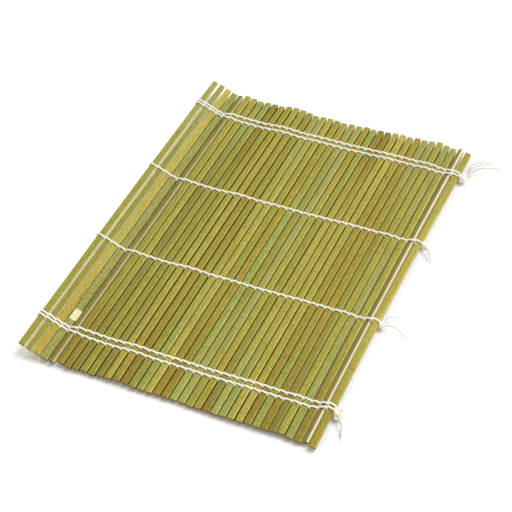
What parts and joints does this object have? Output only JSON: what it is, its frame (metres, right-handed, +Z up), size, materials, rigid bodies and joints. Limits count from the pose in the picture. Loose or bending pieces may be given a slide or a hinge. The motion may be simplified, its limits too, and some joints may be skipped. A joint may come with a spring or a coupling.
{
  "type": "sushi rolling mat",
  "caption": "Flexible mat of flat bamboo slats twined with cotton string, for rolling rice and fillings into a tight cylinder; it folds up slat by slat.",
  "frame": {"origin": "middle of the mat's box in plan, at table level", "axes": "+Z up; +X across the slats, from the free edge towards the knotted edge; +Y along the slats, towards the ends beside the knot with the long tails"},
  "size_m": [0.1886, 0.2436, 0.0114],
  "materials": {
    "bamboo": "satin",
    "cotton_string": "matte",
    "sticker_paper": "satin"
  },
  "bodies": {
    "slat_37_body": {"slat_37": "bamboo", "string_far_outer": "cotton_string", "string_far_inner": "cotton_string", "string_middle_far": "cotton_string", "string_middle_near": "cotton_string", "string_near_inner": "cotton_string", "string_near_outer": "cotton_string", "knot_far": "cotton_string", "knot_middle_far": "cotton_string", "knot_middle_near": "cotton_string", "knot_near": "cotton_string"},
    "slat_36_body": {"slat_36": "bamboo"},
    "slat_35_body": {"slat_35": "bamboo"},
    "slat_34_body": {"slat_34": "bamboo"},
    "slat_33_body": {"slat_33": "bamboo"},
    "slat_32_body": {"slat_32": "bamboo"},
    "slat_31_body": {"slat_31": "bamboo"},
    "slat_30_body": {"slat_30": "bamboo"},
    "slat_29_body": {"slat_29": "bamboo"},
    "slat_28_body": {"slat_28": "bamboo"},
    "slat_27_body": {"slat_27": "bamboo"},
    "slat_26_body": {"slat_26": "bamboo"},
    "slat_25_body": {"slat_25": "bamboo"},
    "slat_24_body": {"slat_24": "bamboo"},
    "slat_23_body": {"slat_23": "bamboo"},
    "slat_22_body": {"slat_22": "bamboo"},
    "slat_21_body": {"slat_21": "bamboo"},
    "slat_20_body": {"slat_20": "bamboo"},
    "slat_19_body": {"slat_19": "bamboo"},
    "slat_18_body": {"slat_18": "bamboo"},
    "slat_17_body": {"slat_17": "bamboo"},
    "slat_16_body": {"slat_16": "bamboo"},
    "slat_15_body": {"slat_15": "bamboo"},
    "slat_14_body": {"slat_14": "bamboo"},
    "slat_13_body": {"slat_13": "bamboo"},
    "slat_12_body": {"slat_12": "bamboo"},
    "slat_11_body": {"slat_11": "bamboo"},
    "slat_10_body": {"slat_10": "bamboo"},
    "slat_09_body": {"slat_09": "bamboo"},
    "slat_08_body": {"slat_08": "bamboo"},
    "slat_07_body": {"slat_07": "bamboo"},
    "slat_06_body": {"slat_06": "bamboo"},
    "slat_05_body": {"slat_05": "bamboo"},
    "slat_04_body": {"slat_04": "bamboo", "sticker": "sticker_paper"},
    "slat_03_body": {"slat_03": "bamboo"},
    "slat_02_body": {"slat_02": "bamboo"},
    "slat_01_body": {"slat_01": "bamboo"}
  },
  "joints": [
    {"name": "fold_36_37", "type": "hinge", "parent": "slat_37_body", "child": "slat_36_body", "pos_m": [0.0717, 0, 0.00336], "axis": [0, 1, 0], "range_deg": [0, 40.4], "deforming": ["string_far_outer", "string_far_inner", "string_middle_far", "string_middle_near", "string_near_inner", "string_near_outer"]},
    {"name": "fold_35_36", "type": "hinge", "parent": "slat_36_body", "child": "slat_35_body", "pos_m": [0.06704, 0, 0.00229], "axis": [0, 1, 0], "range_deg": [0, 3.5]},
    {"name": "fold_34_35", "type": "hinge", "parent": "slat_35_body", "child": "slat_34_body", "pos_m": [0.06236, 0, 0.00204], "axis": [0, 1, 0], "range_deg": [0, 2.7]},
    {"name": "fold_33_34", "type": "hinge", "parent": "slat_34_body", "child": "slat_33_body", "pos_m": [0.05773, 0, 0.00269], "axis": [0, 1, 0], "range_deg": [0, 18.8]},
    {"name": "fold_32_33", "type": "hinge", "parent": "slat_33_body", "child": "slat_32_body", "pos_m": [0.05308, 0, 0.00294], "axis": [0, 1, 0], "range_deg": [0, 23.9]},
    {"name": "fold_31_32", "type": "hinge", "parent": "slat_32_body", "child": "slat_31_body", "pos_m": [0.04842, 0, 0.00237], "axis": [0, 1, 0], "range_deg": [0, 4.1]},
    {"name": "fold_30_31", "type": "hinge", "parent": "slat_31_body", "child": "slat_30_body", "pos_m": [0.04378, 0, 0.00261], "axis": [0, 1, 0], "range_deg": [0, 17.2]},
    {"name": "fold_29_30", "type": "hinge", "parent": "slat_30_body", "child": "slat_29_body", "pos_m": [0.03918, 0, 0.00261], "axis": [0, 1, 0], "range_deg": [0, 14.4]},
    {"name": "fold_28_29", "type": "hinge", "parent": "slat_29_body", "child": "slat_28_body", "pos_m": [0.0346, 0, 0.00261], "axis": [0, 1, 0], "range_deg": [0, 13.5]},
    {"name": "fold_27_28", "type": "hinge", "parent": "slat_28_body", "child": "slat_27_body", "pos_m": [0.02999, 0, 0.00269], "axis": [0, 1, 0], "range_deg": [0, 17.7]},
    {"name": "fold_26_27", "type": "hinge", "parent": "slat_27_body", "child": "slat_26_body", "pos_m": [0.02539, 0, 0.00253], "axis": [0, 1, 0], "range_deg": [0, 16.9]},
    {"name": "fold_25_26", "type": "hinge", "parent": "slat_26_body", "child": "slat_25_body", "pos_m": [0.02078, 0, 0.00221], "axis": [0, 1, 0], "range_deg": [0, 10]},
    {"name": "fold_24_25", "type": "hinge", "parent": "slat_25_body", "child": "slat_24_body", "pos_m": [0.01616, 0, 0.00229], "axis": [0, 1, 0], "range_deg": [0, 17.2]},
    {"name": "fold_23_24", "type": "hinge", "parent": "slat_24_body", "child": "slat_23_body", "pos_m": [0.01156, 0, 0.00221], "axis": [0, 1, 0], "range_deg": [0, 17.4]},
    {"name": "fold_22_23", "type": "hinge", "parent": "slat_23_body", "child": "slat_22_body", "pos_m": [0.00696, 0, 0.00197], "axis": [0, 1, 0], "range_deg": [0, 12.6]},
    {"name": "fold_21_22", "type": "hinge", "parent": "slat_22_body", "child": "slat_21_body", "pos_m": [0.00234, 0, 0.00197], "axis": [0, 1, 0], "range_deg": [0, 12.8]},
    {"name": "fold_20_21", "type": "hinge", "parent": "slat_21_body", "child": "slat_20_body", "pos_m": [-0.00226, 0, 0.00221], "axis": [0, 1, 0], "range_deg": [0, 19]},
    {"name": "fold_19_20", "type": "hinge", "parent": "slat_20_body", "child": "slat_19_body", "pos_m": [-0.00686, 0, 0.00221], "axis": [0, 1, 0], "range_deg": [0, 15.2]},
    {"name": "fold_18_19", "type": "hinge", "parent": "slat_19_body", "child": "slat_18_body", "pos_m": [-0.01146, 0, 0.00229], "axis": [0, 1, 0], "range_deg": [0, 17.5]},
    {"name": "fold_17_18", "type": "hinge", "parent": "slat_18_body", "child": "slat_17_body", "pos_m": [-0.01605, 0, 0.00229], "axis": [0, 1, 0], "range_deg": [0, 18.7]},
    {"name": "fold_16_17", "type": "hinge", "parent": "slat_17_body", "child": "slat_16_body", "pos_m": [-0.02066, 0, 0.00213], "axis": [0, 1, 0], "range_deg": [0, 14]},
    {"name": "fold_15_16", "type": "hinge", "parent": "slat_16_body", "child": "slat_15_body", "pos_m": [-0.02528, 0, 0.00221], "axis": [0, 1, 0], "range_deg": [0, 13.2]},
    {"name": "fold_14_15", "type": "hinge", "parent": "slat_15_body", "child": "slat_14_body", "pos_m": [-0.02986, 0, 0.00261], "axis": [0, 1, 0], "range_deg": [0, 17.5]},
    {"name": "fold_13_14", "type": "hinge", "parent": "slat_14_body", "child": "slat_13_body", "pos_m": [-0.03446, 0, 0.00301], "axis": [0, 1, 0], "range_deg": [0, 23.8]},
    {"name": "fold_12_13", "type": "hinge", "parent": "slat_13_body", "child": "slat_12_body", "pos_m": [-0.0391, 0, 0.00293], "axis": [0, 1, 0], "range_deg": [0, 23.1]},
    {"name": "fold_11_12", "type": "hinge", "parent": "slat_12_body", "child": "slat_11_body", "pos_m": [-0.0437, 0, 0.00245], "axis": [0, 1, 0], "range_deg": [0, 15.4]},
    {"name": "fold_10_11", "type": "hinge", "parent": "slat_11_body", "child": "slat_10_body", "pos_m": [-0.0483, 0, 0.0022], "axis": [0, 1, 0], "range_deg": [0, 16.8]},
    {"name": "fold_09_10", "type": "hinge", "parent": "slat_10_body", "child": "slat_09_body", "pos_m": [-0.05291, 0, 0.00213], "axis": [0, 1, 0], "range_deg": [0, 15.1]},
    {"name": "fold_08_09", "type": "hinge", "parent": "slat_09_body", "child": "slat_08_body", "pos_m": [-0.05751, 0, 0.00237], "axis": [0, 1, 0], "range_deg": [0, 20.5]},
    {"name": "fold_07_08", "type": "hinge", "parent": "slat_08_body", "child": "slat_07_body", "pos_m": [-0.06211, 0, 0.00253], "axis": [0, 1, 0], "range_deg": [0, 16.9]},
    {"name": "fold_06_07", "type": "hinge", "parent": "slat_07_body", "child": "slat_06_body", "pos_m": [-0.06671, 0, 0.00293], "axis": [0, 1, 0], "range_deg": [0, 17.3]},
    {"name": "fold_05_06", "type": "hinge", "parent": "slat_06_body", "child": "slat_05_body", "pos_m": [-0.07138, 0, 0.00359], "axis": [0, 1, 0], "range_deg": [0, 43.8]},
    {"name": "fold_04_05", "type": "hinge", "parent": "slat_05_body", "child": "slat_04_body", "pos_m": [-0.07609, 0, 0.00232], "axis": [0, 1, 0], "range_deg": [-19, 0]},
    {"name": "fold_03_04", "type": "hinge", "parent": "slat_04_body", "child": "slat_03_body", "pos_m": [-0.08059, 0, 0.00396], "axis": [0, 1, 0], "range_deg": [0, 15.3]},
    {"name": "fold_02_03", "type": "hinge", "parent": "slat_03_body", "child": "slat_02_body", "pos_m": [-0.08473, 0, 0.00603], "axis": [0, 1, 0], "range_deg": [0, 24.4]},
    {"name": "fold_01_02", "type": "hinge", "parent": "slat_02_body", "child": "slat_01_body", "pos_m": [-0.08894, 0, 0.00795], "axis": [0, 1, 0], "range_deg": [0, 29.5]}
  ]
}
